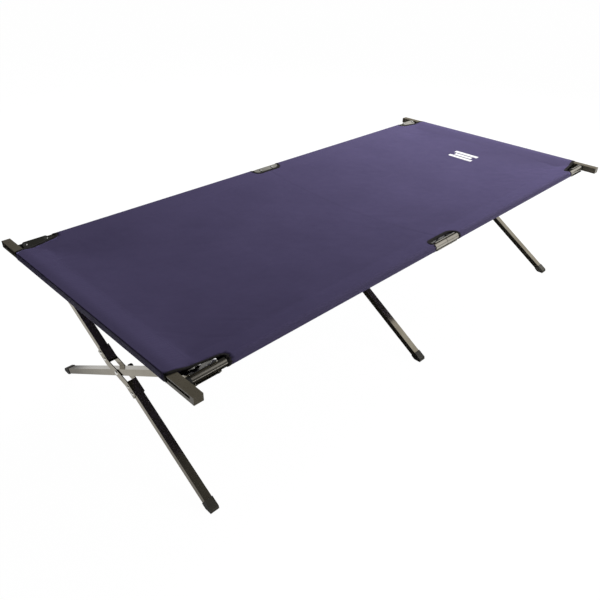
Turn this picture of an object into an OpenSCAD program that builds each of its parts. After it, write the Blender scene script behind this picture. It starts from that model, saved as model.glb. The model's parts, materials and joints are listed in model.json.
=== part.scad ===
// Folding camp bed: fabric stretched between two side rails on three pairs of crossed legs.
// X runs along the bed, Y across it and Z up; the origin is on the floor under the middle.

/* [Bed] */
// Distance between the centre lines of the two end bars
bar_spacing = 2060; // [1800:10:2200]
// Distance between the centre lines of the two side rails
rail_spacing = 876; // [700:2:960]
// Height of the rail centre lines above the floor
rail_height = 498; // [420:2:540]
// Distance from the middle of the bed to each end pair of legs
leg_station = 963; // [780:1:990]

/* [Side rails] */
// Outer diameter of the rail tube
rail_dia = 24; // [20:0.5:28]
// Wall of the rail tube
rail_wall = 1.5; // [1:0.1:2.5]
// Gap between the two halves of a rail at the middle hinge
rail_seam = 2; // [1:0.5:4]
// Distance of each middle hinge rivet from the seam
hinge_rivet_x = 30; // [24:1:40]

/* [Legs] */
// Width of the leg tube, along the bed
leg_w = 25; // [20:0.5:30]
// Depth of the leg tube, across the leg
leg_d = 20; // [16:0.5:24]
// Wall of the leg tube
leg_wall = 1.2; // [1:0.1:2]
// Distance from the middle to where an inner leg's centre line meets the floor
foot_reach = 420; // [380:2:470]
// Distance between the centre lines of the two halves of an outer leg
leg_jog = 36; // [32:1:48]
// Distance from the rail centre line to the pin that holds a leg
leg_pin_reach = 28; // [26:1:34]

/* [Feet] */
// How far a rubber foot stands proud of the leg tube
foot_wall = 1.6; // [1.4:0.1:3]
// Length of a foot along the leg
foot_len = 36; // [34:1:60]
// Rubber under the end of the leg tube
foot_sole = 4; // [3:0.5:8]

/* [End bars] */
// Overall length of an end bar, across the bed
bar_len = 1004; // [940:2:1040]
// Width of an end bar, along the bed
bar_w = 26.6; // [24:0.2:32]
// Height of an end bar
bar_h = 21.5; // [20:0.5:26]
// Wall of an end bar
bar_wall = 2; // [1.6:0.1:3]
// Length of the closed end cap at each tip of a bar
bar_cap_len = 14; // [8:1:24]

/* [Fabric] */
// Thickness of the fabric
cloth_t = 1.2; // [1:0.1:2]
// Clearance between a sleeve and the tube inside it
cloth_gap = 0.4; // [0.3:0.1:1]
// Distance from a rail's centre line in to the stitched edge of its sleeve
side_hem = 70; // [50:1:90]
// Distance from an end bar's centre line in to the stitched edge of its sleeve
end_hem = 72; // [55:1:90]
// Width of the binding on a cut edge
binding_w = 9; // [6:1:12]

/* [Hidden] */
$fn = 48;
thin = 0.1;
running_gap = 0.05;
side_gap = 0.4;

rail_r = rail_dia / 2;
rail_y = rail_spacing / 2;
bar_gap = 1;
rail_end_x = bar_spacing / 2 - bar_w / 2 - bar_gap;
plug_collar = 8.6;
plug_depth = 26;
slot_flare = 3.2;

// Legs: the inner leg runs straight from a far foot to the near rail, and the outer leg
// from a near foot to the far rail in two offset halves joined by the cross bracket.
leg_slope = atan(rail_height / (rail_y + foot_reach));
cross_z = foot_reach * tan(leg_slope);
rail_reach = rail_y / cos(leg_slope);
outer_slope = leg_slope + asin(leg_jog / 2 / rail_reach);
outer_rail_u = sqrt(rail_reach * rail_reach - leg_jog * leg_jog / 4);
outer_foot_u = (cross_z + leg_jog / 2 * cos(outer_slope)) / sin(outer_slope);
inner_foot_u = cross_z / sin(leg_slope);
leg_top_gap = rail_r + 3;
leg_pin_r = 4;

// Plates on both sides of a rail, and the rivets through them
plate_t = 2.5;
plate_in = rail_r + running_gap;
plate_out = plate_in + plate_t;
clevis_plate_r = 9;
hinge_plate_r = 10;
pin_boss = 2;
plate_skirt = 30;
plate_nip = 6;
rivet_r = 3;
rivet_head_h = 2;
rail_head_r = 6.5;
leg_pin_head_r = 8;
washer_r = 9;
clevis_rivet_out = 36;
clevis_rivet_in = -30;
hinge_rivet_d = 4;
hinge_plate_tail = 22;

// Cross bracket
bracket_in = leg_w / 2 + side_gap;
bracket_out = bracket_in + plate_t;
bracket_half = 96;
bracket_grip = 48;
bracket_rivet_u = [60, 84];
bracket_lip = 3;
bracket_head_r = 5.5;
bolt_r = 4;
bolt_head_r = 8;
knob_stem = 11;
knob_r = 7;
knob_len = 13;
knob_bite = 8;
knob_bevel = 3;

// Feet
foot_toe = 2;
foot_bevel = 7;

// End bars
bar_x = bar_spacing / 2;
bar_top = rail_height + rail_r;
bar_bottom = bar_top - bar_h;
groove_h = 8;
groove_deep = 2.6;
groove_z = bar_h * 0.66;
bar_cavity_w = bar_w - 2 * bar_wall - groove_deep;
bar_pin_r = 4;
bar_pin_out = 7.4;
bar_pin_flange = 2;
pin_up = rail_height - bar_bottom;

// Fabric
sheet_proud = 0.05;
panel_top = rail_height + cloth_t;
sleeve_r = rail_r + cloth_gap;
side_opening = 65;
side_opening_y = rail_y - 25;
under_opening_y = side_opening_y - 24;
corner_bend = 22;
corner_x = leg_station - 70;
corner_in = 57;
corner_slant = 30;
corner_flare = 20;
past_bar = 100;
binding_t = 0.8;
sleeve_end_x = leg_station - 60;
opening_bottom = bar_bottom - bar_h;
opening_h = bar_h * 3;

// Printed mark: the middle bar is the short one
mark_x = 770;
mark_y = 0;
mark_w = 18;
mark_pitch = 25;
mark_t = 0.3;
mark_len = [115, 85, 115];

PLACES = ["left", "middle", "right"];
left = -1;
right = 1;
upper = 1;
lower = -1;
steel = [0.62, 0.60, 0.55];
dark_steel = [0.17, 0.15, 0.13];
taupe = [0.40, 0.37, 0.32];
black = [0.06, 0.06, 0.06];
navy = [0.18, 0.16, 0.30];
foot_green = [0.15, 0.17, 0.15];
silver = [0.78, 0.77, 0.74];

// ---- Frames of reference ----

// Local frame on a rail: X along the bed, Y down the leg, Z square to both and up.
module at_rail(side) {
    flip_far(side) translate([0, -rail_y, rail_height])
        rotate([side == "far" ? -outer_slope : -leg_slope, 0, 0]) children();
}

module flip_far(side) {
    if (side == "far") mirror([0, 1, 0]) children();
    else children();
}

// Local frame on the crossing: Y along the leg towards its rail (outer) or its foot (inner).
module on_outer_leg(x = 0) {
    translate([x, 0, cross_z]) rotate([outer_slope, 0, 0]) children();
}

module on_inner_leg(x = 0) {
    translate([x, 0, cross_z]) rotate([-leg_slope, 0, 0]) children();
}

function station(place) = place == "left" ? -leg_station : place == "right" ? leg_station : 0;

module flip_left(end) {
    if (end < 0) mirror([1, 0, 0]) children();
    else children();
}

// ---- Hardware shapes ----

// Rod along Z with a coned head at both ends of its grip, centred on the origin.
module rivet(r, head_r, grip) {
    cylinder(r = r, h = grip, center = true);
    for (end = [0, 1]) mirror([0, 0, end])
        translate([0, 0, grip / 2]) cylinder(r1 = head_r, r2 = head_r * 0.65, h = rivet_head_h);
}

// Rectangular tube along Y, from y0 to y1.
module leg_tube(y0, y1) {
    difference() {
        translate([-leg_w / 2, y0, -leg_d / 2]) cube([leg_w, y1 - y0, leg_d]);
        translate([-leg_w / 2 + leg_wall, y0 - 1, -leg_d / 2 + leg_wall])
            cube([leg_w - 2 * leg_wall, y1 - y0 + 2, leg_d - 2 * leg_wall]);
    }
}

module bore_x(r, len) {
    rotate([0, 90, 0]) cylinder(r = r, h = len, center = true);
}

module bore_z(r, len) {
    cylinder(r = r, h = len, center = true);
}

// ---- Rails ----

function rail_rivet_spots(end) = [
    [end * (leg_station + clevis_rivet_out), 0],
    [end * (leg_station + clevis_rivet_in), 0],
    [end * hinge_rivet_x, hinge_rivet_d]];

module rail(side, end) {
    color(dark_steel) at_rail(side) difference() {
        x0 = rail_seam / 2;
        x1 = rail_end_x - plug_collar;
        translate([end * (x0 + x1) / 2, 0, 0]) difference() {
            bore_x(rail_r, x1 - x0);
            bore_x(rail_r - rail_wall, x1 - x0 + 2);
        }
        for (spot = rail_rivet_spots(end))
            translate([spot[0], spot[1], 0]) bore_z(rivet_r, rail_dia + 4);
    }
}

// Plug in the end of a rail: its collar has a slot for the bar's pin, wider at its mouth below.
module rail_plug(side, end) {
    collar_x = rail_end_x - plug_collar / 2;
    slot_r = bar_pin_r + side_gap;
    color(black) at_rail(side) difference() {
        union() {
            translate([end * collar_x, 0, 0]) bore_x(rail_r, plug_collar);
            translate([end * (rail_end_x - plug_collar - plug_depth / 2), 0, 0])
                bore_x(rail_r - rail_wall, plug_depth + thin);
        }
        translate([end * collar_x, 0, 0]) {
            bore_x(slot_r, plug_collar + thin * 2);
            rotate([90, 0, 90]) translate([0, 0, -plug_collar / 2 - thin])
                linear_extrude(plug_collar + thin * 2) polygon([[-slot_r, 0], [slot_r, 0],
                    [slot_r + slot_flare, -rail_r - 1], [-slot_r - slot_flare, -rail_r - 1]]);
        }
        translate([end * (leg_station + clevis_rivet_out), 0, 0]) bore_z(rivet_r, rail_dia * 2);
    }
}

// Plate against one side of a rail, reaching down to the pin of a leg; face is 1 above, -1 below.
module rail_plate(corners, holes, radius, pin_x, face) {
    x0 = corners[0][0] - radius;
    x1 = corners[1][0] + radius;
    y0 = corners[0][1];
    skirt_y = plate_skirt - plate_nip;
    boss_y = leg_pin_reach + plate_nip;
    difference() {
        translate([0, 0, face > 0 ? plate_in : -plate_out]) linear_extrude(plate_t) {
            polygon([corners[0] - [0, radius], corners[1] - [0, radius], [x1, y0], [x1, skirt_y],
                [x1 - plate_nip, plate_skirt], [pin_x + radius, boss_y], [pin_x - radius, boss_y],
                [x0 + plate_nip, plate_skirt], [x0, skirt_y], [x0, y0]]);
            for (corner = corners) translate(corner) circle(r = radius);
            translate([pin_x, leg_pin_reach]) circle(r = radius + pin_boss);
        }
        for (hole = holes) translate(hole) bore_z(rivet_r, rail_dia * 3);
        translate([pin_x, leg_pin_reach]) bore_z(leg_pin_r, rail_dia * 3);
    }
}

module clevis(side, end, face) {
    spots = [[leg_station + clevis_rivet_in, 0], [leg_station + clevis_rivet_out, 0]];
    color(steel) at_rail(side) flip_left(end) rail_plate(spots, spots, clevis_plate_r,
        leg_station, face);
}

module hinge_plate(side, face) {
    reach = hinge_rivet_x + hinge_plate_tail;
    color(silver) at_rail(side) rail_plate(
        [[-reach, hinge_rivet_d], [reach, hinge_rivet_d]],
        [[-hinge_rivet_x, hinge_rivet_d], [hinge_rivet_x, hinge_rivet_d]],
        hinge_plate_r, 0, face);
}

// Rivets through the plates and the tube: two at each end and two at the middle hinge.
module rail_rivets(side) {
    color(silver) at_rail(side) for (end = [left, right], spot = rail_rivet_spots(end))
        translate([spot[0], spot[1], 0]) rivet(rivet_r, rail_head_r, plate_out * 2);
}

// Pins that hold the three legs between their plates.
module leg_pins(side) {
    color(silver) at_rail(side) for (place = PLACES)
        translate([station(place), leg_pin_reach, 0]) rivet(leg_pin_r, leg_pin_head_r, plate_out * 2);
}

// Washers that fill the gap between a leg and the plates on each side of it.
module leg_washers(side) {
    color(black) at_rail(side) for (place = PLACES, face = [0, 1])
        translate([station(place), leg_pin_reach, 0]) mirror([0, 0, face])
            translate([0, 0, leg_d / 2]) difference() {
                cylinder(r = washer_r, h = plate_in - leg_d / 2);
                translate([0, 0, -1]) cylinder(r = leg_pin_r, h = plate_in);
            }
}

// ---- Legs ----

// How far the square end of a leg tube stops short of where its centre line meets the floor.
function tube_end_back(slope) = (leg_d / 2 * cos(slope) + foot_sole) / sin(slope);

// Inner leg: one straight tube from the far foot, through the crossing, to the near rail.
module inner_leg(place) {
    color(steel) on_inner_leg(station(place)) difference() {
        leg_tube(leg_top_gap - rail_reach, inner_foot_u - tube_end_back(leg_slope));
        bore_x(bolt_r + running_gap, leg_w + 2);
        translate([0, leg_pin_reach - rail_reach, 0]) bore_z(leg_pin_r, leg_d + 2);
    }
}

// Upper half of an outer leg, from the cross bracket to the far rail.
module outer_leg_upper(place) {
    color(steel) on_outer_leg(station(place)) translate([0, 0, -leg_jog / 2]) difference() {
        leg_tube(bracket_grip, outer_rail_u - leg_top_gap);
        for (u = bracket_rivet_u) translate([0, u, 0]) bore_x(rivet_r, leg_w + 2);
        translate([0, outer_rail_u - leg_pin_reach, 0]) bore_z(leg_pin_r, leg_d + 2);
    }
}

// Lower half of an outer leg, from the near foot to the cross bracket.
module outer_leg_lower(place) {
    color(steel) on_outer_leg(station(place)) translate([0, 0, leg_jog / 2]) difference() {
        leg_tube(tube_end_back(outer_slope) - outer_foot_u, -bracket_grip);
        for (u = bracket_rivet_u) translate([0, -u, 0]) bore_x(rivet_r, leg_w + 2);
    }
}

// Webs of the cross bracket: each lies on the upper face of one half of the outer leg.
module bracket_webs() {
    web_len = bracket_half - bracket_grip;
    for (web = [[bracket_grip, -leg_jog / 2], [-bracket_half, leg_jog / 2]])
        translate([-bracket_out, web[0], web[1] + leg_d / 2 + running_gap])
            cube([bracket_out * 2, web_len, plate_t]);
}

// Side plate of the cross bracket, in the plane of the leg: a slanting arm past the bolt.
module bracket_side() {
    grip_r = leg_d / 2 + bracket_lip;
    rotate([90, 0, 90]) linear_extrude(plate_t) {
        hull() for (end = [-1, 1])
            translate([end * bracket_grip, -end * leg_jog / 2]) circle(r = grip_r);
        for (end = [-1, 1])
            translate([end * (bracket_half + bracket_grip) / 2, -end * leg_jog / 2])
                square([bracket_half - bracket_grip, grip_r * 2], center = true);
    }
}

// Bracket that joins the two halves of an outer leg and lets the inner leg pass between.
module cross_bracket(place) {
    color(steel) on_outer_leg(station(place)) difference() {
        union() {
            translate([bracket_in, 0, 0]) bracket_side();
            translate([-bracket_out, 0, 0]) bracket_side();
            bracket_webs();
        }
        bore_x(bolt_r, bracket_out * 3);
        for (end = [-1, 1], u = bracket_rivet_u)
            translate([0, end * u, -end * leg_jog / 2]) bore_x(rivet_r, bracket_out * 3);
    }
}

module bracket_rivets() {
    color(silver) for (place = PLACES) on_outer_leg(station(place))
        for (end = [-1, 1], u = bracket_rivet_u)
            translate([0, end * u, -end * leg_jog / 2]) rotate([0, 90, 0])
                rivet(rivet_r, bracket_head_r, bracket_out * 2);
}

// Bolts on which the crossed legs turn; each runs on past the bracket into its knob.
module pivot_bolts() {
    color(silver) for (place = PLACES) on_outer_leg(station(place)) rotate([0, 90, 0]) {
        translate([0, 0, -bracket_out - rivet_head_h])
            cylinder(r1 = bolt_head_r * 0.75, r2 = bolt_head_r, h = rivet_head_h);
        translate([0, 0, -bracket_out])
            cylinder(r = bolt_r, h = bracket_out * 2 + knob_stem + knob_bite);
    }
}

module pivot_knobs() {
    color(black) for (place = PLACES) on_outer_leg(station(place))
        translate([bracket_out + knob_stem, 0, 0]) rotate([0, 90, 0]) difference() {
            union() {
                cylinder(r = knob_r, h = knob_len - knob_bevel);
                translate([0, 0, knob_len - knob_bevel])
                    cylinder(r1 = knob_r, r2 = knob_r - knob_bevel, h = knob_bevel);
            }
            translate([0, 0, -thin]) cylinder(r = bolt_r, h = knob_bite + thin);
        }
}

// ---- Feet ----

// Rubber boot over the end of a leg tube, before it is cut flat at the floor. Its toe is
// square to the leg, with a bevel. Y runs up the leg from where its axis meets the floor.
module foot_boot(slope) {
    wide = leg_w + 2 * foot_wall;
    half = leg_d / 2 + foot_wall;
    difference() {
        translate([-wide / 2, 0, 0]) rotate([90, 0, 90]) linear_extrude(wide)
            polygon([[foot_len, -half], [foot_len, half], [foot_bevel - foot_toe, half],
                [-foot_toe, half - foot_bevel], [-foot_toe, -half]]);
        translate([-leg_w / 2, tube_end_back(slope), -leg_d / 2]) cube([leg_w, foot_len, leg_d]);
    }
}

module above_floor() {
    intersection() {
        children();
        translate([-bar_spacing, -bar_len, 0]) cube([bar_spacing * 2, bar_len * 2, rail_height]);
    }
}

module foot_near(place) {
    color(foot_green) above_floor() on_outer_leg(station(place))
        translate([0, -outer_foot_u, leg_jog / 2]) foot_boot(outer_slope);
}

module foot_far(place) {
    color(foot_green) above_floor() on_inner_leg(station(place))
        translate([0, inner_foot_u, 0]) mirror([0, 1, 0]) foot_boot(leg_slope);
}

// ---- End bars ----

module at_bar(end) {
    flip_left(end) translate([bar_x, 0, bar_bottom]) children();
}

// Box section with a groove along its outer face and open tips for the caps.
module end_bar(end) {
    len = bar_len - 2 * bar_cap_len;
    color(taupe) at_bar(end) difference() {
        translate([-bar_w / 2, -len / 2, 0]) cube([bar_w, len, bar_h]);
        translate([-bar_w / 2 + bar_wall, -len / 2 - 1, bar_wall])
            cube([bar_cavity_w, len + 2, bar_h - 2 * bar_wall]);
        translate([bar_w / 2 - groove_deep, -len / 2 - 1, groove_z - groove_h / 2])
            cube([groove_deep + 1, len + 2, groove_h]);
        for (side = [-1, 1]) translate([-bar_w / 2, side * rail_y, pin_up])
            bore_x(bar_pin_r, bar_wall * 3);
    }
}

// Caps that close the tips of a bar, each with a tongue inside the box section.
module bar_caps(end) {
    color(taupe) at_bar(end) for (side = [0, 1]) mirror([0, side, 0]) {
        translate([-bar_w / 2, bar_len / 2 - bar_cap_len, 0]) cube([bar_w, bar_cap_len, bar_h]);
        translate([-bar_w / 2 + bar_wall, bar_len / 2 - 2 * bar_cap_len, bar_wall])
            cube([bar_cavity_w, bar_cap_len + thin, bar_h - 2 * bar_wall]);
    }
}

// Pins that stand out of the bar's inner face and rest in the slots of the rail plugs.
module bar_pins(end) {
    color(silver) at_bar(end) for (side = [-1, 1])
        translate([-bar_w / 2, side * rail_y, pin_up]) rotate([0, -90, 0]) {
            translate([0, 0, -bar_wall]) cylinder(r = bar_pin_r, h = bar_wall + bar_pin_out);
            translate([0, 0, -bar_wall - bar_pin_flange])
                cylinder(r = bar_pin_r + bar_pin_flange, h = bar_pin_flange);
        }
}

// ---- Fabric ----

// Outline across the bed of a rail's sleeve: a loop that closes at its stitched hem.
module side_sleeve_outline(skin) {
    hull() {
        translate([-rail_y, rail_height]) circle(r = sleeve_r + skin);
        translate([-rail_y + side_hem - cloth_t + skin, panel_top - cloth_t * 2])
            square([thin, thin + skin]);
    }
}

// Outline along the bed of an end bar's sleeve.
module end_sleeve_outline(skin) {
    grow = cloth_gap + skin;
    hull() {
        translate([bar_x - bar_w / 2 - grow, bar_bottom - grow])
            square([bar_w + 2 * grow, bar_h + 2 * grow]);
        translate([bar_x - end_hem + cloth_t - skin, panel_top - cloth_t * 2])
            square([thin, thin + skin]);
    }
}

// Sleeves as solid bars: around both rails and both end bars.
module sleeves(skin) {
    for (side = ["near", "far"]) flip_far(side) rotate([90, 0, 90])
        translate([0, 0, -sleeve_end_x]) linear_extrude(sleeve_end_x * 2)
            side_sleeve_outline(skin);
    for (end = [left, right]) flip_left(end) rotate([90, 0, 0])
        translate([0, 0, -rail_y]) linear_extrude(rail_y * 2) end_sleeve_outline(skin);
}

// The panel between the sleeves hangs from their stitched hems, level with the rails' axes.
module sheet() {
    translate([-bar_x, -rail_y, panel_top - cloth_t])
        cube([bar_x * 2, rail_y * 2, cloth_t]);
}

// One corner: a slanted edge that turns down across the rail with a round bend.
module corner_opening() {
    offset(r = corner_bend) offset(delta = -corner_bend)
        polygon([[bar_x + past_bar, -bar_len], [bar_x + past_bar, -rail_y + corner_in],
            [corner_x, -rail_y + corner_in - corner_slant],
            [corner_x + corner_flare, -bar_len]]);
}

module middle_opening() {
    offset(r = corner_bend) offset(delta = -corner_bend)
        polygon([[-side_opening, -bar_len], [-side_opening, -side_opening_y],
            [side_opening, -side_opening_y], [side_opening, -bar_len]]);
}

// Openings at the corners and over the middle hinges, grown by the width of their edge.
module opening_outlines(edge) {
    offset(r = edge) for (side = ["near", "far"]) flip_far(side) {
        for (end = [left, right]) flip_left(end) corner_opening();
        middle_opening();
    }
}

module openings(edge) {
    translate([0, 0, opening_bottom]) linear_extrude(opening_h) opening_outlines(edge);
}

// Outlines of the printed mark: three plain bars.
module mark_outlines() {
    for (row = [0 : len(mark_len) - 1])
        translate([mark_x + row * mark_pitch, mark_y - mark_len[row] / 2])
            square([mark_w, mark_len[row]]);
}

// The face that a mat lies on stops at the binding and the print, which stand on the cloth.
module face_edges() {
    translate([0, 0, panel_top - sheet_proud]) linear_extrude(cloth_t) {
        opening_outlines(binding_w);
        mark_outlines();
    }
}

// In the lower layer the middle openings reach further in, so that the legs pass.
module under_openings() {
    for (side = ["near", "far"]) flip_far(side)
        translate([-side_opening, -bar_len, opening_bottom])
            cube([side_opening * 2, bar_len - under_opening_y, panel_top - opening_bottom]);
}

// Flat sheet joined to four sleeves, all one piece of cloth.
module fabric_bed() {
    color(navy) difference() {
        union() {
            sheet();
            sleeves(cloth_t);
        }
        sleeves(0);
        openings(0);
        under_openings();
        face_edges();
    }
}

// Strip bound over the cut edges of the cloth, on its outside.
module binding() {
    under_len = 2 * (bar_x - end_hem);
    under_wide = 2 * (side_opening_y - binding_w);
    intersection() {
        difference() {
            union() {
                translate([0, 0, binding_t]) sheet();
                sleeves(cloth_t + binding_t);
            }
            translate([0, 0, -sheet_proud]) sheet();
            sleeves(cloth_t);
            openings(0);
            under_openings();
            translate([-under_len / 2, -under_wide / 2, 0])
                cube([under_len, under_wide, panel_top - cloth_t]);
        }
        openings(binding_w);
    }
}

module middle_block() {
    translate([-bar_x / 2, -bar_len, 0]) cube([bar_x, bar_len * 2, bar_top * 2]);
}

module binding_corners() {
    color(black) difference() {
        binding();
        middle_block();
    }
}

module binding_middle() {
    color(black) intersection() {
        binding();
        middle_block();
    }
}

// Plain printed bars on the cloth near one end.
module printed_mark() {
    color("white") translate([0, 0, panel_top - sheet_proud]) linear_extrude(mark_t)
        mark_outlines();
}

rail("near", left);  // rail_near_left
rail("near", right);  // rail_near_right
rail("far", left);  // rail_far_left
rail("far", right);  // rail_far_right
rail_plug("near", left);  // rail_plug_near_left
rail_plug("near", right);  // rail_plug_near_right
rail_plug("far", left);  // rail_plug_far_left
rail_plug("far", right);  // rail_plug_far_right
hinge_plate("near", upper);  // hinge_plate_upper_near
hinge_plate("near", lower);  // hinge_plate_lower_near
hinge_plate("far", upper);  // hinge_plate_upper_far
hinge_plate("far", lower);  // hinge_plate_lower_far
clevis("near", left, upper);  // clevis_upper_near_left
clevis("near", right, upper);  // clevis_upper_near_right
clevis("far", left, upper);  // clevis_upper_far_left
clevis("far", right, upper);  // clevis_upper_far_right
clevis("near", left, lower);  // clevis_lower_near_left
clevis("near", right, lower);  // clevis_lower_near_right
clevis("far", left, lower);  // clevis_lower_far_left
clevis("far", right, lower);  // clevis_lower_far_right
rail_rivets("near");  // rail_rivets_near
rail_rivets("far");  // rail_rivets_far
leg_pins("near");  // leg_pins_near
leg_pins("far");  // leg_pins_far
leg_washers("near");  // leg_washers_near
leg_washers("far");  // leg_washers_far
inner_leg("left");  // inner_leg_left
inner_leg("middle");  // inner_leg_middle
inner_leg("right");  // inner_leg_right
outer_leg_upper("left");  // outer_leg_upper_left
outer_leg_upper("middle");  // outer_leg_upper_middle
outer_leg_upper("right");  // outer_leg_upper_right
outer_leg_lower("left");  // outer_leg_lower_left
outer_leg_lower("middle");  // outer_leg_lower_middle
outer_leg_lower("right");  // outer_leg_lower_right
cross_bracket("left");  // cross_bracket_left
cross_bracket("middle");  // cross_bracket_middle
cross_bracket("right");  // cross_bracket_right
bracket_rivets();
pivot_bolts();
pivot_knobs();
foot_near("left");  // foot_near_left
foot_near("middle");  // foot_near_middle
foot_near("right");  // foot_near_right
foot_far("left");  // foot_far_left
foot_far("middle");  // foot_far_middle
foot_far("right");  // foot_far_right
end_bar(left);  // end_bar_left
end_bar(right);  // end_bar_right
bar_caps(left);  // bar_caps_left
bar_caps(right);  // bar_caps_right
bar_pins(left);  // bar_pins_left
bar_pins(right);  // bar_pins_right
fabric_bed();
binding_corners();
binding_middle();
printed_mark();
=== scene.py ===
import json
import math

import bmesh
import bpy
import numpy as np
from mathutils import Matrix, Vector, geometry, kdtree, noise
from mathutils.bvhtree import BVHTree


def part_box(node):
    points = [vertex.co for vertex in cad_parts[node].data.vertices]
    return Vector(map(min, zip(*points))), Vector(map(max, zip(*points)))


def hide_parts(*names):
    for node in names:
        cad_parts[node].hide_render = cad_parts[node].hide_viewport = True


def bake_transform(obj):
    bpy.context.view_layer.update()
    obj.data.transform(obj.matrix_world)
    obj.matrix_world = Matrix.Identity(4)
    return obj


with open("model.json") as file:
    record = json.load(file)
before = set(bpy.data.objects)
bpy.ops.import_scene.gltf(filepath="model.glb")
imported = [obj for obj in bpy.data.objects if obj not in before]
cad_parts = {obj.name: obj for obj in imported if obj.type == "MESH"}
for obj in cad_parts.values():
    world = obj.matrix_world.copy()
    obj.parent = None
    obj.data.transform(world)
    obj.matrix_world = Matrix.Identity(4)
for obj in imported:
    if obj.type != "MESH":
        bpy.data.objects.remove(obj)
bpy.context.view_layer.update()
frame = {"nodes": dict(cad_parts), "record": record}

MM = 0.001

# ---------------------------------------------------------------- driving sizes, from the frame
rail_low, rail_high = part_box("rail_near_left")
RAIL_Y = -(rail_low.y + rail_high.y) / 2
RAIL_Z = (rail_low.z + rail_high.z) / 2
RAIL_R = (rail_high.z - rail_low.z) / 2
bar_low, bar_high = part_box("end_bar_right")
BAR_X = (bar_low.x + bar_high.x) / 2
BAR_HALF = (bar_high.x - bar_low.x) / 2

# The cloth: its own thickness, the gap it keeps from the tubes, its hems' distance in from the
# middle of a tube or bar, and the round of a bar's edges
CLOTH_T = 0.8 * MM
CLOTH_LIFT = 0.9 * MM
CLOTH_R = RAIL_R + CLOTH_LIFT
CLOTH_Z = RAIL_Z + CLOTH_R
SIDE_HEM = 70 * MM
END_HEM = 72 * MM
BAR_EDGE_R = 1.5 * MM

# The open panel hangs from the hems, lower than the tops of the tubes. The sleeve's lower layer
# meets it at the hem, just underneath.
bed_mount = next(m for m in frame["record"]["mounts"] if m["name"] == "sleeping_surface")
PANEL_Z = bed_mount["pos_m"][2] - CLOTH_T / 2
DROP = CLOTH_Z - PANEL_Z
HEM_Z = PANEL_Z - 1.5 * CLOTH_T

# The openings: half the length of a middle one, how far each reaches in, how much a corner one
# widens underneath, the round bend, and the width of the binding
MIDDLE_HALF = 65 * MM
MIDDLE_IN = RAIL_Y - 25 * MM
CORNER_X = 893 * MM
CORNER_NEAR_RAIL = RAIL_Y - 20 * MM
CORNER_AT_BAR = RAIL_Y - 47 * MM
CORNER_FLARE = 8 * MM
BEND_R = 22 * MM
BINDING_W = 9 * MM

# The pattern's mesh: even grid lines, extra ones at the centre fold and each hem's edge, and the
# room kept round the cut edge and round the extra lines
GRID = 12 * MM
FOLD_LINES = (0, 2.5 * MM, 5 * MM)
HEM_LINES = (-0.5 * MM, 2.5 * MM)
RIM_CLEAR = 3.5 * MM
LINE_CLEAR = 4 * MM
SAME_POINT = 0.05 * MM
ARC_STEP = math.radians(9)
FLAP_STEP = 8 * MM

BOTH = (-1, 1)
QUARTER_TURN = math.pi / 2


# ---------------------------------------------------------------- the cloth's pattern and its place
class Wrap:
    """The path of the cloth round a tube or bar, from its top to the hem, in (outward, up).

    turns are the arcs it takes: each one's centre and its first and last angle, where None ends
    it at the tangent to the hem.
    """

    def __init__(self, turns, radius, hem):
        points = []
        for centre, start, stop in turns:
            if stop is None:
                stop = self.tangent(centre, radius, hem)
            steps = max(2, int(abs(stop - start) / ARC_STEP))
            for angle in np.linspace(start, stop, steps + 1):
                points.append((centre[0] + radius * math.cos(angle),
                               centre[1] + radius * math.sin(angle)))
        last = points[-1]
        flap = math.dist(last, hem)
        for share in np.linspace(0, 1, int(flap / FLAP_STEP) + 1)[1:]:
            points.append((last[0] + (hem[0] - last[0]) * share,
                           last[1] + (hem[1] - last[1]) * share))
        self.points = np.array(points)
        steps = np.linalg.norm(np.diff(self.points, axis=0), axis=1)
        self.lengths = np.concatenate([[0], np.cumsum(steps)])
        self.length = self.lengths[-1]

    @staticmethod
    def tangent(centre, radius, hem):
        """Where, going down and in round the circle, the cloth leaves it for the hem."""
        out, up = hem[0] - centre[0], hem[1] - centre[1]
        angle = math.atan2(up, out) + math.acos(radius / math.hypot(out, up))
        return angle - 2 * math.pi

    def at(self, along):
        """(outward, up, outward normal, up normal) at a distance along the path."""
        step = 0.2 * MM
        here = [np.interp(along, self.lengths, self.points[:, k]) for k in (0, 1)]
        back = [np.interp(along - step, self.lengths, self.points[:, k]) for k in (0, 1)]
        on = [np.interp(along + step, self.lengths, self.points[:, k]) for k in (0, 1)]
        run, rise = on[0] - back[0], on[1] - back[1]
        size = math.hypot(run, rise)
        return here[0], here[1], -rise / size, run / size


side_wrap = Wrap([((RAIL_Y, RAIL_Z), QUARTER_TURN, None)], CLOTH_R, (RAIL_Y - SIDE_HEM, HEM_Z))
edge_r = BAR_EDGE_R + CLOTH_LIFT
bar_out, bar_in = BAR_X + BAR_HALF - BAR_EDGE_R, BAR_X - BAR_HALF + BAR_EDGE_R
bar_up, bar_down = bar_high.z - BAR_EDGE_R, bar_low.z + BAR_EDGE_R
bar_turns = [((bar_out, bar_up), QUARTER_TURN, 0), ((bar_out, bar_down), 0, -QUARTER_TURN),
             ((bar_in, bar_down), -QUARTER_TURN, None)]
end_wrap = Wrap(bar_turns, edge_r, (BAR_X - END_HEM, HEM_Z))

# How far out the cloth lies flat, and how far out the pattern reaches
FLAT_A = bar_out
FLAT_B = RAIL_Y
END_A = FLAT_A + end_wrap.length
END_B = FLAT_B + side_wrap.length


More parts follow.
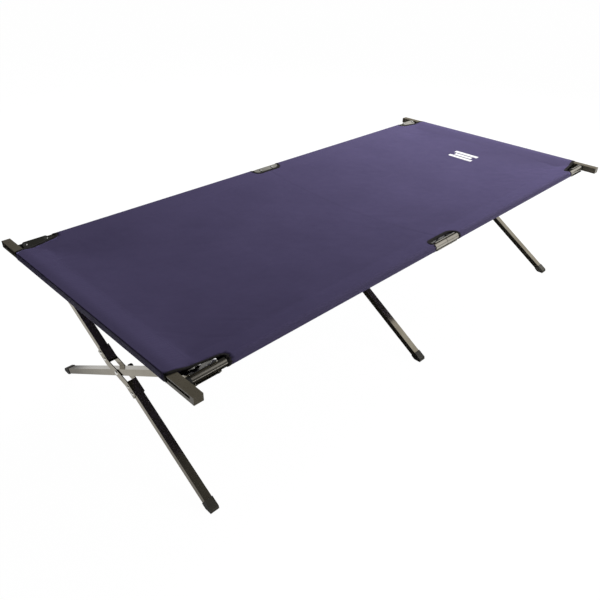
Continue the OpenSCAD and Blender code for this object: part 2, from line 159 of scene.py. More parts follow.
def place(a, b, height=0.0):
    """Point of the cloth's pattern (a along the bed, b across it), in the frame, and lifted."""
    if abs(b) > FLAT_B:
        out, up, n_out, n_up = side_wrap.at(abs(b) - FLAT_B)
        side = math.copysign(1, b)
        return Vector((a, side * (out + n_out * height), up + n_up * height))
    if abs(a) > FLAT_A:
        out, up, n_out, n_up = end_wrap.at(abs(a) - FLAT_A)
        side = math.copysign(1, a)
        return Vector((side * (out + n_out * height), b, up + n_up * height))
    fall = min(1.0, max(0.0, (bar_in - abs(a)) / (bar_in - BAR_X + END_HEM)),
               (FLAT_B - abs(b)) / SIDE_HEM)
    return Vector((a, b, CLOTH_Z - DROP * fall + height))


def fillet(corner, before, after, radius, steps=9):
    """Round bend at a corner of an outline, between the directions to its two neighbours."""
    c, p, q = Vector(corner), Vector(before), Vector(after)
    u, v = (p - c).normalized(), (q - c).normalized()
    half = u.angle(v) / 2
    reach = radius / math.tan(half)
    centre = c + (u + v).normalized() * (radius / math.sin(half))
    start, end = c + u * reach, c + v * reach
    first = math.atan2(*(start - centre).yx)
    turn = (math.atan2(*(end - centre).yx) - first + math.pi) % (2 * math.pi) - math.pi
    return [(centre.x + radius * math.cos(first + turn * k / steps),
             centre.y + radius * math.sin(first + turn * k / steps)) for k in range(steps + 1)]


def spaced(points, gap=GRID * 0.8):
    """The same line with points added so that no step is longer than the gap."""
    line = [points[0]]
    for here in points[1:]:
        last = line[-1]
        parts = max(1, math.ceil(math.dist(last, here) / gap))
        line += [(last[0] + (here[0] - last[0]) * k / parts,
                  last[1] + (here[1] - last[1]) * k / parts) for k in range(1, parts + 1)]
    return line


def corner_cut():
    """Cut edge at the +a +b corner, from the end sleeve's hem round to the side sleeve's hem."""
    bar_end, bend = (BAR_X + BAR_HALF, CORNER_AT_BAR), (CORNER_X, CORNER_NEAR_RAIL)
    side_end = (CORNER_X + CORNER_FLARE, END_B)
    return spaced([(END_A, CORNER_AT_BAR), bar_end, *fillet(bend, bar_end, side_end, BEND_R),
                   side_end])


def middle_cut():
    """Cut edge over a middle hinge on the +b side, from hem to hem."""
    right = [(MIDDLE_HALF, END_B), *fillet((MIDDLE_HALF, MIDDLE_IN), (MIDDLE_HALF, END_B),
                                           (0, MIDDLE_IN), BEND_R)]
    return spaced(right + [(-a, b) for a, b in reversed(right)])


def pattern_outline():
    """The cloth as it is cut, flat, as one closed line."""
    quarter = corner_cut()
    half_middle = [p for p in middle_cut() if p[0] > -1e-9]
    top_right = list(reversed(quarter)) + [(END_A, 0)]
    first = list(reversed(half_middle)) + top_right
    right = first + [(a, -b) for a, b in reversed(first)]
    loop = spaced(right + [(-a, b) for a, b in reversed(right)] + [right[0]])
    closed = []
    for p in loop:
        if not closed or math.dist(p, closed[-1]) > SAME_POINT:
            closed.append(p)
    if math.dist(closed[0], closed[-1]) < SAME_POINT:
        closed.pop()
    return closed


def pattern_lines(flat, wrap, hem):
    """Grid lines of the pattern in one direction: even where flat, closer at folds and tubes."""
    count = int(flat / GRID)
    even = [flat * k / count for k in range(1, count + 1)]
    extra = [*FOLD_LINES, *(hem + step for step in HEM_LINES)]
    clear = [s for s in even if min(abs(s - e) for e in extra) > LINE_CLEAR]
    half = extra + clear + [flat + s for s in wrap.lengths[1:-1]]
    return sorted([-s for s in half if s > 0] + half)


def polygon_area(points):
    """Area inside a closed outline."""
    p = np.array(points)
    return abs(np.dot(p[:, 0], np.roll(p[:, 1], -1)) - np.dot(p[:, 1], np.roll(p[:, 0], -1))) / 2


def pattern_mesh(outline):
    """Triangles that fill the outline, with its edges followed exactly."""
    points = [Vector(p) for p in outline]
    rim = kdtree.KDTree(len(points))
    for index, p in enumerate(points):
        rim.insert((p.x, p.y, 0), index)
    rim.balance()
    edges = [(k, (k + 1) % len(points)) for k in range(len(outline))]
    lines_b = pattern_lines(FLAT_B, side_wrap, RAIL_Y - SIDE_HEM)
    lattice = np.array([(a, b) for a in pattern_lines(FLAT_A, end_wrap, BAR_X - END_HEM)
                        for b in lines_b])
    for a, b in lattice[inside(outline, lattice)]:
        if rim.find((a, b, 0))[2] > RIM_CLEAR:
            points.append(Vector((a, b)))
    verts, _, faces, _, _, _ = geometry.delaunay_2d_cdt(points, edges, [], 1, 1e-7)
    return [tuple(v) for v in verts], faces


def inside(outline, points):
    """Which of the points lie in a closed outline."""
    p, xs, ys = np.array(outline), points[:, 0], points[:, 1]
    hit = np.zeros(len(points), bool)
    for (x1, y1), (x2, y2) in zip(p, np.roll(p, -1, axis=0)):
        spans = (y1 > ys) != (y2 > ys)
        if not spans.any():
            continue
        hit ^= spans & (xs < (x2 - x1) * (ys - y1) / (y2 - y1) + x1)
    return hit


# ---------------------------------------------------------------- mesh helpers
def add_mesh(name, points, faces, smooth=True):
    """New object from points and faces, with its normals made to agree."""
    data = bpy.data.meshes.new(name)
    data.from_pydata([tuple(p) for p in points], [], faces)
    data.update()
    work = bmesh.new()
    work.from_mesh(data)
    bmesh.ops.recalc_face_normals(work, faces=work.faces)
    work.to_mesh(data)
    work.free()
    data.polygons.foreach_set("use_smooth", [smooth] * len(data.polygons))
    obj = bpy.data.objects.new(name, data)
    bpy.context.scene.collection.objects.link(obj)
    return obj


def apply_modifiers(obj):
    """Keep the mesh as its modifiers leave it."""
    graph = bpy.context.evaluated_depsgraph_get()
    data = bpy.data.meshes.new_from_object(obj.evaluated_get(graph))
    obj.modifiers.clear()
    old = obj.data
    obj.data = data
    bpy.data.meshes.remove(old)


def set_pattern_uv(obj, where):
    """Store each point's place in the cloth's pattern, in metres, as the UV map."""
    layer = obj.data.uv_layers.new(name="Pattern")
    for loop in obj.data.loops:
        layer.data[loop.index].uv = where[loop.vertex_index]


def across_joint(obj):
    """Bakes the place of a soft piece that goes from the near rail to the far one into its mesh."""
    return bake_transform(obj)


# ---------------------------------------------------------------- material helpers
def node(tree, kind, inputs=None, **settings):
    """New shader node; an input is a value, or the socket that it is linked to."""
    made = tree.nodes.new(kind)
    for key, value in settings.items():
        setattr(made, key, value)
    for key, value in (inputs or {}).items():
        if isinstance(value, bpy.types.NodeSocket):
            tree.links.new(value, made.inputs[key])
        else:
            made.inputs[key].default_value = value
    return made


def math_node(tree, operation, *values):
    made = node(tree, "ShaderNodeMath", dict(enumerate(values)), operation=operation)
    return made.outputs[0]


def ramp(tree, factor, low, high, start=0.0, end=1.0):
    """Colour from low to high as the factor goes from start to end."""
    made = node(tree, "ShaderNodeValToRGB", {"Fac": factor})
    made.color_ramp.elements[0].position = start
    made.color_ramp.elements[0].color = (*low, 1)
    made.color_ramp.elements[1].position = end
    made.color_ramp.elements[1].color = (*high, 1)
    return made.outputs["Color"]


def noise_node(tree, vector, scale, detail=3.0, rough=0.55):
    made = node(tree, "ShaderNodeTexNoise", {"Vector": vector, "Scale": scale,
                                            "Detail": detail, "Roughness": rough})
    return made.outputs["Fac"]


def spread(tree, factor, low, high, start=0.3, end=0.7):
    """Value from low to high as the factor goes from start to end, and no further."""
    made = node(tree, "ShaderNodeMapRange", {"Value": factor, "From Min": start,
                                            "From Max": end, "To Min": low, "To Max": high})
    return made.outputs["Result"]


def mixed(tree, factor, low, high):
    """Colour between low and high; each is a value or a socket."""
    made = node(tree, "ShaderNodeMix", data_type="RGBA")
    for key, value in (("Factor_Float", factor), ("A_Color", low), ("B_Color", high)):
        socket = next(s for s in made.inputs if s.identifier == key)
        if isinstance(value, bpy.types.NodeSocket):
            tree.links.new(value, socket)
        else:
            socket.default_value = value
    return next(s for s in made.outputs if s.identifier == "Result_Color")


def start_material(name, constants):
    """New material, with its node tree and its shader set to the constants."""
    made = bpy.data.materials.new(name)
    made.use_nodes = True
    tree = made.node_tree
    shader = tree.nodes["Principled BSDF"]
    for key, value in constants.items():
        shader.inputs[key].default_value = value
    return made, tree, shader


def bump(tree, height, distance, strength=1.0, normal=None):
    inputs = {"Height": height, "Distance": distance, "Strength": strength}
    if normal is not None:
        inputs["Normal"] = normal
    return node(tree, "ShaderNodeBump", inputs).outputs["Normal"]


def hard_material(name, dark, light, rough, worn=None, grain=(900, 0.05 * MM), drawn=(1, 1, 1),
                  wear_share=0.3, **constants):
    """Paint, metal or plastic whose colour drifts, with uneven gloss, grain and worn spots.

    rough is the lowest and highest roughness, grain its scale and depth, and drawn how much the
    pattern is stretched along each axis.
    """
    made, tree, shader = start_material(name, constants)
    place_in = node(tree, "ShaderNodeTexCoord").outputs["Object"]
    along = node(tree, "ShaderNodeMapping", {"Vector": place_in, "Scale": drawn})
    drift = noise_node(tree, place_in, scale=14, detail=4)
    colour = ramp(tree, drift, dark, light, start=0.35, end=0.65)
    streak = noise_node(tree, along.outputs["Vector"], scale=160, detail=4, rough=0.65)
    gloss = spread(tree, streak, rough[0], rough[1])
    if worn:
        scuff = noise_node(tree, along.outputs["Vector"], scale=40, detail=3, rough=0.6)
        edge = 1 - wear_share
        mask = spread(tree, scuff, 0, 1, start=edge, end=edge + 0.06)
        colour = mixed(tree, mask, colour, (*worn, 1))
    tree.links.new(colour, shader.inputs["Base Color"])
    tree.links.new(gloss, shader.inputs["Roughness"])
    grain_scale, grain_depth = grain
    fine = noise_node(tree, along.outputs["Vector"], grain_scale, detail=2)
    waves = noise_node(tree, place_in, scale=45, detail=2)
    waved = bump(tree, waves, distance=0.05 * MM)
    grained = bump(tree, fine, distance=grain_depth, normal=waved)
    tree.links.new(grained, shader.inputs["Normal"])
    return made


def band_scale(pitch):
    """Scale of a wave texture whose bands are a pitch apart; at scale 1 they are 2 pi / 20."""
    return 2 * math.pi / 20 / pitch


def weave(tree, uv, pitch):
    """Height of a plain weave: over and under, from two crossed sets of bands."""
    scale = band_scale(pitch)
    bands = [node(tree, "ShaderNodeTexWave", {"Vector": uv, "Scale": scale}, wave_type="BANDS",
                  bands_direction=way).outputs["Fac"] for way in "XY"]
    return math_node(tree, "MULTIPLY", *bands)


def fabric_material(name, dark, light, hem_painted_sheen):
    """Coated polyester: plain weave, cloudy colour, sheen, ribbed double hems painted a little
    lighter as painted sheen, and painted shade along the centre fold.
    """
    made, tree, shader = start_material(name, {
        "Sheen Weight": 0.32, "Sheen Roughness": 0.3, "Sheen Tint": (0.5, 0.43, 1.0, 1),
        "Specular IOR Level": 0.08})
    uv = node(tree, "ShaderNodeUVMap", uv_map="Pattern").outputs["UV"]
    parts = node(tree, "ShaderNodeSeparateXYZ", {"Vector": uv})
    along = math_node(tree, "ABSOLUTE", parts.outputs["X"])
    across = math_node(tree, "ABSOLUTE", parts.outputs["Y"])
    cloud = noise_node(tree, uv, scale=5, detail=5, rough=0.6)
    colour = ramp(tree, cloud, dark, light, start=0.3, end=0.7)
    end_edge, side_edge, soft = BAR_X - END_HEM, RAIL_Y - SIDE_HEM, 1 * MM
    end_hem = spread(tree, along, 0, 1, start=end_edge - soft, end=end_edge + soft)
    side_hem = spread(tree, across, 0, 0.7, start=side_edge - soft, end=side_edge + soft)
    hem_sheen_mask = math_node(tree, "MAXIMUM", end_hem, side_hem)
    # painted sheen: the hem bands are painted a little lighter than the open panel
    colour = mixed(tree, math_node(tree, "MULTIPLY", hem_sheen_mask, 0.5), colour, (*hem_painted_sheen, 1))
    fibre = noise_node(tree, uv, scale=700, detail=3, rough=0.7)
    colour = mixed(tree, spread(tree, fibre, 0, 0.25), colour, (*dark, 1))
    # painted shade: the cloth's colour is darkened along the centre fold
    fold_painted_shade = spread(tree, along, 0.3, 0, start=1 * MM, end=4 * MM)
    colour = mixed(tree, fold_painted_shade, colour, (*[0.55 * c for c in dark], 1))
    tree.links.new(colour, shader.inputs["Base Color"])
    gloss = spread(tree, noise_node(tree, uv, scale=30, detail=4), 0.5, 0.62)
    tree.links.new(gloss, shader.inputs["Roughness"])
    rib = node(tree, "ShaderNodeTexWave", {"Vector": uv, "Scale": band_scale(11 * MM),
                                          "Distortion": 3.0, "Detail": 2.0},
               wave_type="BANDS", bands_direction="Y").outputs["Fac"]
    ribbed = math_node(tree, "MULTIPLY", rib, end_hem)
    swell = noise_node(tree, uv, scale=9, detail=2)
    slack = bump(tree, swell, distance=3.0 * MM, strength=0.5)
    ribs = bump(tree, ribbed, distance=0.25 * MM, strength=0.4, normal=slack)
    threads = bump(tree, weave(tree, uv, pitch=0.9 * MM), distance=0.12 * MM, strength=0.5,
                   normal=ribs)
    tree.links.new(threads, shader.inputs["Normal"])
    return made


def tape_material(name, dark, light, pitch, thick, rough=0.7):
    """Woven tape, thread or ink on cloth: a weave of the given pitch and thickness."""
    made, tree, shader = start_material(name, {"Sheen Weight": 0.05, "Sheen Roughness": 0.4,
                                               "Specular IOR Level": 0.15})
    uv = node(tree, "ShaderNodeUVMap", uv_map="Pattern").outputs["UV"]
    blotch = noise_node(tree, uv, scale=260, detail=4)
    tree.links.new(ramp(tree, blotch, dark, light, start=0.35, end=0.65),
                   shader.inputs["Base Color"])
    gloss = spread(tree, noise_node(tree, uv, scale=60, detail=3), rough - 0.08, rough + 0.08)
    tree.links.new(gloss, shader.inputs["Roughness"])
    woven = bump(tree, weave(tree, uv, pitch), distance=thick, strength=0.7)
    tree.links.new(woven, shader.inputs["Normal"])
    return made


# ---------------------------------------------------------------- the fabric bed
# Depth of the centre fold and height of a hem's double cloth, and how wide each change is
RELIEF = 0.35 * MM
FOLD_W = 5 * MM
HEM_STEP = 3 * MM

# Slight ripples of the panel, which end a little way into the hems
RIPPLE = 1.1 * MM
RIPPLE_SCALE = 7
RIPPLE_INTO_HEM = 30 * MM

SETTLE_STEPS = 24


def dip(distance, width):
    """1 on a line, 0 from the width on, smooth between."""
    share = min(1.0, abs(distance) / width)
    return 1 - share * share * (3 - 2 * share)


def fabric_height(a, b):
    """Relief of the cloth over its flat place: the centre fold, double hems and ripples."""
    end_in, side_in = abs(a) - (BAR_X - END_HEM), abs(b) - (RAIL_Y - SIDE_HEM)
    height = -RELIEF * dip(a, FOLD_W)
    for depth in (end_in, side_in):
        if depth > 0:
            height += RELIEF * (1 - dip(depth, HEM_STEP))
    if max(end_in, side_in) < RIPPLE_INTO_HEM:
        height += RIPPLE * noise.noise(Vector((a * RIPPLE_SCALE, b * RIPPLE_SCALE, 3)))
    return height


def flat_relief(a, b):
    """The relief that a piece on the cloth follows; none where the cloth turns down."""
    return fabric_height(a, b) if abs(a) < FLAT_A and abs(b) < FLAT_B else 0.0


def let_sag(obj, pinned):
    """Cloth simulation of the open panel, held at the sleeves; only the settled shape is kept."""
    group = obj.vertex_groups.new(name="held")
    group.add(pinned, 1.0, "REPLACE")
    cloth = obj.modifiers.new("settle", "CLOTH")
    settings = cloth.settings
    settings.quality = 6
    settings.mass = 0.02
    settings.tension_stiffness = settings.compression_stiffness = 25
    settings.shear_stiffness = 12
    settings.bending_stiffness = 0.4
    settings.shrink_min = -0.0006
    settings.vertex_group_mass = "held"
    cloth.collision_settings.use_collision = False
    cloth.point_cache.frame_end = SETTLE_STEPS
    for step in range(1, SETTLE_STEPS + 1):
        bpy.context.scene.frame_set(step)
    apply_modifiers(obj)
    bpy.context.scene.frame_set(1)
    obj.vertex_groups.clear()


def in_open_panel(a, b):
    return abs(a) < BAR_X - END_HEM - 0.1 * MM and abs(b) < RAIL_Y - SIDE_HEM - 0.1 * MM


def make_fabric(material):
    """The sewn bed, cut and hung on the frame, and the area of its cut."""
    outline = pattern_outline()
    flat, faces = pattern_mesh(outline)
    held = [index for index, spot in enumerate(flat) if not in_open_panel(*spot)]
    points = [place(a, b, fabric_height(a, b)) for a, b in flat]
    obj = add_mesh("bed_fabric", points, faces)
    let_sag(obj, held)
    set_pattern_uv(obj, flat)
    thick = obj.modifiers.new("thick", "SOLIDIFY")
    thick.thickness = CLOTH_T
    thick.offset = 0
    apply_modifiers(obj)
    obj.data.materials.clear()
    obj.data.materials.append(material)
    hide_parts("fabric_bed")
    across_joint(obj)
    return obj, polygon_area(outline)


# ---------------------------------------------------------------- bindings, stitches and print
def strip_sides(line):
    """Unit vectors across a line of the pattern, on its left."""
    p = np.array(line)
    tangent = np.gradient(p, axis=0)
    tangent /= np.linalg.norm(tangent, axis=1)[:, None]
    return np.column_stack([-tangent[:, 1], tangent[:, 0]])


# Cross-section of the binding: (distance in from the cut edge, height over the cloth's middle)
HALF_T = CLOTH_T / 2
BINDING_SECTION = [(BINDING_W, HALF_T + 0.1 * MM), (BINDING_W, HALF_T + 0.6 * MM),
                   (BINDING_W * 0.5, HALF_T + 0.8 * MM), (0.4 * MM, HALF_T + 0.7 * MM),
                   (-0.9 * MM, 0.25 * MM), (-0.9 * MM, -0.2 * MM), (0.4 * MM, -HALF_T - 0.3 * MM),
                   (BINDING_W, -HALF_T - 0.3 * MM), (BINDING_W, -HALF_T - 0.05 * MM),
                   (0.1 * MM, 0.0)]


# The tape's folded edge stands out over an opening and sags a little, where it is clear of tube
# and bar. Both grow to their full size over a short way.
TAPE_LIP = 5 * MM
LIP_SAG = 2 * MM
LIP_EASE = 8 * MM


def lip_share(a, b):
    """How much of the lip an edge has at a place: 0 over a tube or bar, 1 well clear of both."""
    off_rail, off_bar = RAIL_Y - RAIL_R - abs(b), bar_in - abs(a)
    return math.prod(min(1.0, max(0.0, off / LIP_EASE)) for off in (off_rail, off_bar))


def make_binding(name, lines, material, replaced):
    """Tape folded over each cut edge; each line runs with the cloth on its left."""
    points, faces, where = [], [], []
    size = len(BINDING_SECTION)
    for line in lines:
        first = len(points)
        sides = strip_sides(line)
        for (a, b), (u, v) in zip(line, sides):
            share = lip_share(a, b)
            for reach, height in BINDING_SECTION:
                if reach < 0:
                    reach -= TAPE_LIP * share
                    height -= LIP_SAG * share
                flat = (a + u * reach, b + v * reach)
                points.append(place(*flat, height + flat_relief(*flat)))
                where.append((flat[0], flat[1] + height))
        rows = len(line)
        for row in range(rows - 1):
            for k in range(size):
                here, there = first + row * size, first + (row + 1) * size
                faces.append((here + k, here + (k + 1) % size, there + (k + 1) % size,
                              there + k))
        faces.append(tuple(range(first, first + size)))
        faces.append(tuple(range(first + (rows - 1) * size, first + rows * size)))
    obj = add_mesh(name, points, faces)
    set_pattern_uv(obj, where)
    obj.data.materials.append(material)
    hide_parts(replaced)
    return across_joint(obj)


def resampled(line, gap):
    """Points a gap apart along a line of the pattern, each with its direction."""
    p = np.array(line)
    steps = np.linalg.norm(np.diff(p, axis=0), axis=1)
    total = np.concatenate([[0], np.cumsum(steps)])
    marks = np.arange(gap / 2, total[-1], gap)
    made = np.column_stack([np.interp(marks, total, p[:, k]) for k in (0, 1)])
    ahead = np.column_stack([np.interp(marks + gap / 4, total, p[:, k]) for k in (0, 1)])
    behind = np.column_stack([np.interp(marks - gap / 4, total, p[:, k]) for k in (0, 1)])
    return list(zip(made, ahead - behind))


# Stitches: the distance from one to the next, half the length of one, the radius of the thread,
# how deep its ends are pulled in over that radius, the shape between its ends as rings of
# (place, thickness), and the sides of a ring
STITCH_GAP = 5 * MM
STITCH_HALF = 1.75 * MM
THREAD_R = 0.32 * MM
END_PULL = 0.6
STITCH_RINGS = ((-0.6, 0.8), (0, 1), (0.6, 0.8))
RING_SIDES = 4

# Rows along a hem: how far in each is, and how far short of an opening it stops
ROW_DEPTHS = (3 * MM, 9 * MM)
ROW_END = 12 * MM


def hem_rows():
    """Lines along both edges of every sleeve's hem, above and below, each with its height."""
    rows = []
    for sign in BOTH:
        for depth in ROW_DEPTHS:
            for start, stop in ((-CORNER_X, -MIDDLE_HALF), (MIDDLE_HALF, CORNER_X)):
                for b in (RAIL_Y - SIDE_HEM + depth, END_B - depth):
                    ends = (start + ROW_END, stop - ROW_END)
                    rows.append(([(a, sign * b) for a in ends], HALF_T))
    reach = CORNER_AT_BAR - ROW_END
    for sign in BOTH:
        for depth in ROW_DEPTHS:
            for a in (BAR_X - END_HEM + depth, END_A - depth):
                rows.append(([(sign * a, -reach), (sign * a, reach)], HALF_T))
    return rows


def tape_rows(lines):
    """One line along the inner edge of each strip of tape, with its height."""
    rows, inner = [], BINDING_W - 2 * MM
    for line in lines:
        inset = [(a + u * inner, b + v * inner)
                 for (a, b), (u, v) in zip(line, strip_sides(line))]
        rows.append((inset, HALF_T + 0.7 * MM))
    return rows


def make_stitches(name, rows, material):
    """Short rounded stitches along lines of the pattern, each row at its own height."""
    points, faces, where = [], [], []
    for line, height in rows:
        for (a, b), direction in resampled(line, STITCH_GAP):
            u, v = direction / np.linalg.norm(direction)
            tail = len(points)
            rings = [tail + 1 + RING_SIDES * k for k in range(len(STITCH_RINGS))]
            head = rings[-1] + RING_SIDES
            spots = [(-1, 0, -END_PULL)]
            for share, thick in STITCH_RINGS:
                for k in range(RING_SIDES):
                    turn = 2 * math.pi / RING_SIDES * k
                    spots.append((share, thick * math.cos(turn), thick * math.sin(turn)))
            spots.append((1, 0, -END_PULL))
            for share, side, lift in spots:
                at = (a + u * STITCH_HALF * share - v * THREAD_R * side,
                      b + v * STITCH_HALF * share + u * THREAD_R * side)
                points.append(place(*at, height + flat_relief(a, b) + THREAD_R * lift))
                where.append(at)
            for k in range(RING_SIDES):
                n = (k + 1) % RING_SIDES
                faces.append((tail, rings[0] + n, rings[0] + k))
                for low, high in zip(rings, rings[1:]):
                    faces.append((low + k, low + n, high + n, high + k))
                faces.append((rings[-1] + k, rings[-1] + n, head))
    obj = add_mesh(name, points, faces)
    set_pattern_uv(obj, where)
    obj.data.materials.append(material)
    return across_joint(obj)


def surface_height(fabric):
    """Height of the cloth's top over a point of the open panel, where it has settled."""
    graph = bpy.context.evaluated_depsgraph_get()
    tree = BVHTree.FromObject(fabric, graph)

    def at(a, b):
        above = Vector((a, b, CLOTH_Z + 50 * MM))
        hit = tree.ray_cast(above, Vector((0, 0, -1)))[0]
        return hit.z if hit else CLOTH_Z
    return at


# The gap between two printed bars over a bar's width, the middle bar's length over the others',
# and the ink: how far it stands over the cloth and how far it goes in
GAP_SHARE = 7 / 18
SHORT_SHARE = 85 / 115
INK_OVER = 0.18 * MM
INK_IN = 0.1 * MM


def make_print(material, top_at):
    """Plain screen-printed bars where the CAD has them, a film on the settled cloth."""
    low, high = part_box("printed_mark")
    bars = 3
    across, along = 4, 28
    row, block = across + 1, (across + 1) * (along + 1)
    wide = (high.x - low.x) / (bars + (bars - 1) * GAP_SHARE)
    pitch = (high.x - low.x - wide) / (bars - 1)
    points, faces, where = [], [], []
    for k in range(bars):
        x0 = low.x + pitch * k
        half = (high.y - low.y) / 2 * (1.0 if k != 1 else SHORT_SHARE)
        middle = (high.y + low.y) / 2
        for layer in (INK_OVER, -INK_IN):
            for j in range(along + 1):
                for i in range(across + 1):
                    x = x0 + wide * i / across
                    y = middle - half + 2 * half * j / along
                    points.append((x, y, top_at(x, y) + layer))
                    where.append((x, y))
        first = len(points) - 2 * block
        for j in range(along):
            for i in range(across):
                c = first + j * row + i
                faces.append((c, c + 1, c + row + 1, c + row))
                faces.append((c + block, c + block + row, c + block + row + 1, c + block + 1))
        rim = [first + i for i in range(across)]
        rim += [first + across + j * row for j in range(along)]
        rim += [first + along * row + across - i for i in range(across)]
        rim += [first + (along - j) * row for j in range(along)]
        for here, there in zip(rim, rim[1:] + rim[:1]):
            faces.append((here, here + block, there + block, there))
    obj = add_mesh("printed_bars", points, faces, smooth=False)
    set_pattern_uv(obj, where)
    obj.data.materials.append(material)
    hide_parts("printed_mark")
    return across_joint(obj)


# ---------------------------------------------------------------- finishes
# By material slot: the colours between which a finish drifts, then its roughness
looks = {
    "rail_tube": hard_material("rail_tube", (0.4, 0.37, 0.315), (0.47, 0.44, 0.38),
                               (0.16, 0.27), worn=(0.2, 0.18, 0.15), wear_share=0.24,
                               grain=(1400, 0.004 * MM), drawn=(0.12, 1, 1), Metallic=1.0),
    "plate_steel": hard_material("zinc_plate", (0.42, 0.41, 0.36), (0.56, 0.54, 0.48),
                                 (0.1, 0.2), worn=(0.16, 0.15, 0.13), wear_share=0.26,
                                 grain=(1200, 0.004 * MM), drawn=(0.15, 1, 1), Metallic=1.0),
    "bright_steel": hard_material("bright_rivet", (0.72, 0.71, 0.67), (0.88, 0.87, 0.83),
                                  (0.14, 0.24), grain=(1500, 0.003 * MM), Metallic=1.0),
    "leg_steel": hard_material("leg_enamel", (0.27, 0.24, 0.185), (0.33, 0.3, 0.235),
                               (0.11, 0.15), worn=(0.36, 0.33, 0.27), wear_share=0.3,
                               grain=(700, 0.003 * MM), Metallic=0.95),
    "black_plastic": hard_material("moulded_plastic", (0.009, 0.009, 0.008),
                                   (0.016, 0.016, 0.015), (0.42, 0.58),
                                   grain=(1800, 0.06 * MM)),
    "foot_rubber": hard_material("foot_rubber", (0.045, 0.041, 0.032), (0.07, 0.065, 0.052),
                                 (0.42, 0.6), worn=(0.1, 0.1, 0.085), wear_share=0.25,
                                 grain=(1500, 0.07 * MM)),
    "bar_paint": hard_material("bar_enamel", (0.13, 0.115, 0.085), (0.16, 0.142, 0.108),
                               (0.24, 0.36), worn=(0.28, 0.26, 0.22), wear_share=0.2,
                               grain=(1100, 0.006 * MM), Metallic=0.3),
}

# The metal, plastic and rubber nodes keep their shape and take the finish of their slot
for row in frame["record"]["subparts"]:
    look = looks.get(row["material_slot"])
    if look is not None:
        data = frame["nodes"][row["node"]].data
        data.materials.clear()
        data.materials.append(look)

# the last colour is the hems' painted sheen, a little lighter than the cloth
fabric_look = fabric_material("navy_oxford", (0.052, 0.0435, 0.09), (0.061, 0.051, 0.105),
                              (0.064, 0.054, 0.11))
binding_look = tape_material("binding_tape", (0.01, 0.009, 0.009), (0.02, 0.018, 0.018),
                             pitch=0.8 * MM, thick=0.1 * MM)
thread_look = tape_material("navy_thread", (0.045, 0.038, 0.085), (0.07, 0.06, 0.12),
                            pitch=0.4 * MM, thick=0.05 * MM)
print_look = tape_material("white_ink", (0.58, 0.58, 0.58), (0.66, 0.66, 0.66),
                           pitch=0.9 * MM, thick=0.04 * MM, rough=0.55)

# ---------------------------------------------------------------- soft pieces
fabric, fabric_area = make_fabric(fabric_look)

# One cut line a corner and one a middle opening, each run with the cloth on its left
quarter = corner_cut()
corner_lines = []
for sa in BOTH:
    for sb in BOTH:
        line = [(sa * a, sb * b) for a, b in quarter]
        corner_lines.append(line if sa * sb < 0 else line[::-1])
middle = middle_cut()
middle_lines = [middle, [(-a, -b) for a, b in middle]]

corner_bindings = make_binding("corner_bindings", corner_lines, binding_look, "binding_corners")
middle_bindings = make_binding("middle_bindings", middle_lines, binding_look, "binding_middle")
hem_stitches = make_stitches("hem_stitches", hem_rows(), thread_look)
tape_stitches = make_stitches("tape_stitches", tape_rows(corner_lines + middle_lines),
                              binding_look)
printed = make_print(print_look, surface_height(fabric))


# ---------------------------------------------------------------- camera, light and floor
# The camera's place in metres, and its pan, tilt and roll in degrees
CAMERA_AT = (-1.567, -1.335, 1.375)
CAMERA_PAN, CAMERA_TILT, CAMERA_ROLL = -45.25, 57.47, 1.108

# The bright panel that metal mirrors: where it lies, the cosines of the angles off that at which
# it begins and is full, and the light outside and inside it
REFLECTOR_TOWARD = (0.83, -0.3, 0.47)
REFLECTOR_EDGE, REFLECTOR_FULL = 0.81, 0.95
STUDIO_DIM, REFLECTOR_BRIGHT = 0.04, 0.9

# The floor: half its side in metres, its glow to the camera, and that glow's share of its look
FLOOR_HALF = 40
FLOOR_GLOW = 1.04
GLOW_SHARE = 0.95

# Diameter of each light, in metres
LIGHT_SIZE = 2.2


def make_camera():
    camera = bpy.data.objects.new("camera", bpy.data.cameras.new("camera"))
    bpy.context.scene.collection.objects.link(camera)
    camera.data.sensor_width = 36
    camera.data.lens = 35.92
    camera.data.clip_start = 50 * MM
    camera.location = CAMERA_AT
    pan, tilt, roll = (Matrix.Rotation(math.radians(angle), 4, axis) for angle, axis in
                       ((CAMERA_PAN, "Z"), (CAMERA_TILT, "X"), (CAMERA_ROLL, "Z")))
    camera.rotation_euler = (pan @ tilt @ roll).to_euler()
    bpy.context.scene.camera = camera


def soft_light(name, at, target, power):
    """Round soft light that falls on the object but isn't mirrored in its metal."""
    data = bpy.data.lights.new(name, "AREA")
    data.shape = "DISK"
    data.size = LIGHT_SIZE
    data.energy = power
    obj = bpy.data.objects.new(name, data)
    bpy.context.scene.collection.objects.link(obj)
    obj.location = at
    obj.rotation_euler = (Vector(target) - obj.location).to_track_quat("-Z", "Y").to_euler()
    obj.visible_glossy = False


def make_world():
    """Dim studio with one soft bright panel for metal to mirror, and white behind the object."""
    world = bpy.data.worlds.new("studio")
    bpy.context.scene.world = world
    world.use_nodes = True
    tree = world.node_tree
    direction = node(tree, "ShaderNodeTexCoord").outputs["Generated"]
    toward_panel = node(tree, "ShaderNodeVectorMath", {0: direction, 1: REFLECTOR_TOWARD},
                        operation="DOT_PRODUCT").outputs["Value"]
    studio_light = spread(tree, toward_panel, STUDIO_DIM, REFLECTOR_BRIGHT,
                          start=REFLECTOR_EDGE, end=REFLECTOR_FULL)
    seen = node(tree, "ShaderNodeLightPath").outputs["Is Camera Ray"]
    tree.links.new(math_node(tree, "MAXIMUM", studio_light, seen),
                   tree.nodes["Background"].inputs["Color"])


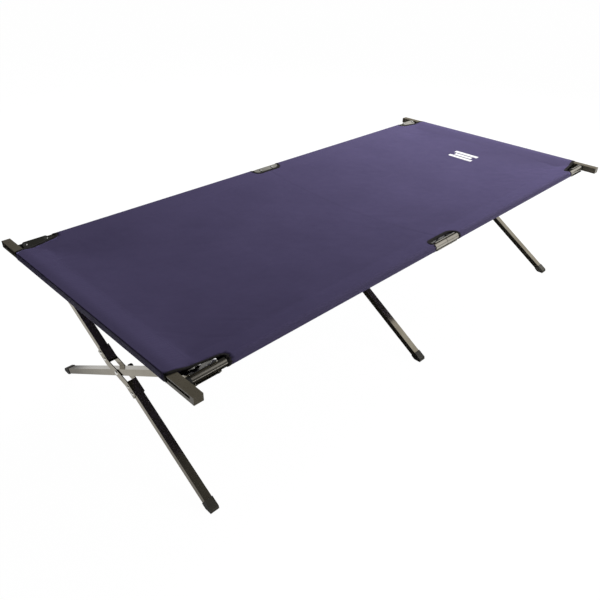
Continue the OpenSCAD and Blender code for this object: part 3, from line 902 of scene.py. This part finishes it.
def painted_floor_reflection(tree, floor_at):
    """Painted glow of the floor as metal mirrors it, by its place: painted light off the bed's left
    end, to its near right and just past its far side, and painted shadow under the bed and further
    back."""
    parts = node(tree, "ShaderNodeSeparateXYZ", {"Vector": floor_at})
    x, y = parts.outputs["X"], parts.outputs["Y"]
    near_right = math_node(tree, "MULTIPLY", spread(tree, x, 0, 0.9, start=-0.2, end=0.8),
                           spread(tree, y, 1, 0, start=-0.75, end=-0.5))
    off_left = spread(tree, x, 0.8, 0.02, start=-1.1, end=-0.9)
    past_far = spread(tree, y, 0, 0.8, start=0.45, end=0.55)
    near_lit = math_node(tree, "MAXIMUM", near_right, off_left)
    lit = math_node(tree, "MAXIMUM", near_lit, past_far)
    return math_node(tree, "MULTIPLY", lit, spread(tree, y, 1, 0.02, start=1.0, end=1.2))


def make_floor():
    """Plain pale floor, evenly white to the camera; in metal it shows only a painted glow of light
    and shadow.
    """
    half = FLOOR_HALF
    floor = add_mesh("floor", [(-half, -half, 0), (half, -half, 0), (half, half, 0),
                               (-half, half, 0)], [(0, 1, 2, 3)], smooth=False)
    look, tree, shader = start_material("pale_floor", {"Roughness": 0.9,
                                                       "Specular IOR Level": 0.1})
    floor_at = node(tree, "ShaderNodeTexCoord").outputs["Object"]
    pale = ramp(tree, noise_node(tree, floor_at, scale=3), (0.84, 0.84, 0.84), (0.87, 0.87, 0.87))
    tree.links.new(pale, shader.inputs["Base Color"])
    ray = node(tree, "ShaderNodeLightPath")
    to_camera, to_metal = ray.outputs["Is Camera Ray"], ray.outputs["Is Glossy Ray"]
    # painted reflection: glossy rays see a painted glow of light and shadow by place, not the floor
    # as it is lit
    painted_reflection = math_node(tree, "MULTIPLY", painted_floor_reflection(tree, floor_at), to_metal)
    glow = node(tree, "ShaderNodeEmission", {
        "Strength": math_node(tree, "MULTIPLY_ADD", to_camera, FLOOR_GLOW, painted_reflection)})
    glow_share = math_node(tree, "MULTIPLY_ADD", to_camera, GLOW_SHARE, to_metal)
    mix = node(tree, "ShaderNodeMixShader", {0: glow_share, 1: shader.outputs["BSDF"],
                                             2: glow.outputs["Emission"]})
    tree.links.new(mix.outputs["Shader"], tree.nodes["Material Output"].inputs["Surface"])
    floor.data.materials.append(look)


make_camera()
make_world()
soft_light("key", at=(2.0, 0.6, 2.35), target=(0.4, 0.1, 0.4), power=143)
soft_light("fill", at=(0.9, -3.4, 1.3), target=(0.6, -0.2, 0.4), power=66)
make_floor()
bpy.context.scene.view_settings.view_transform = "Standard"
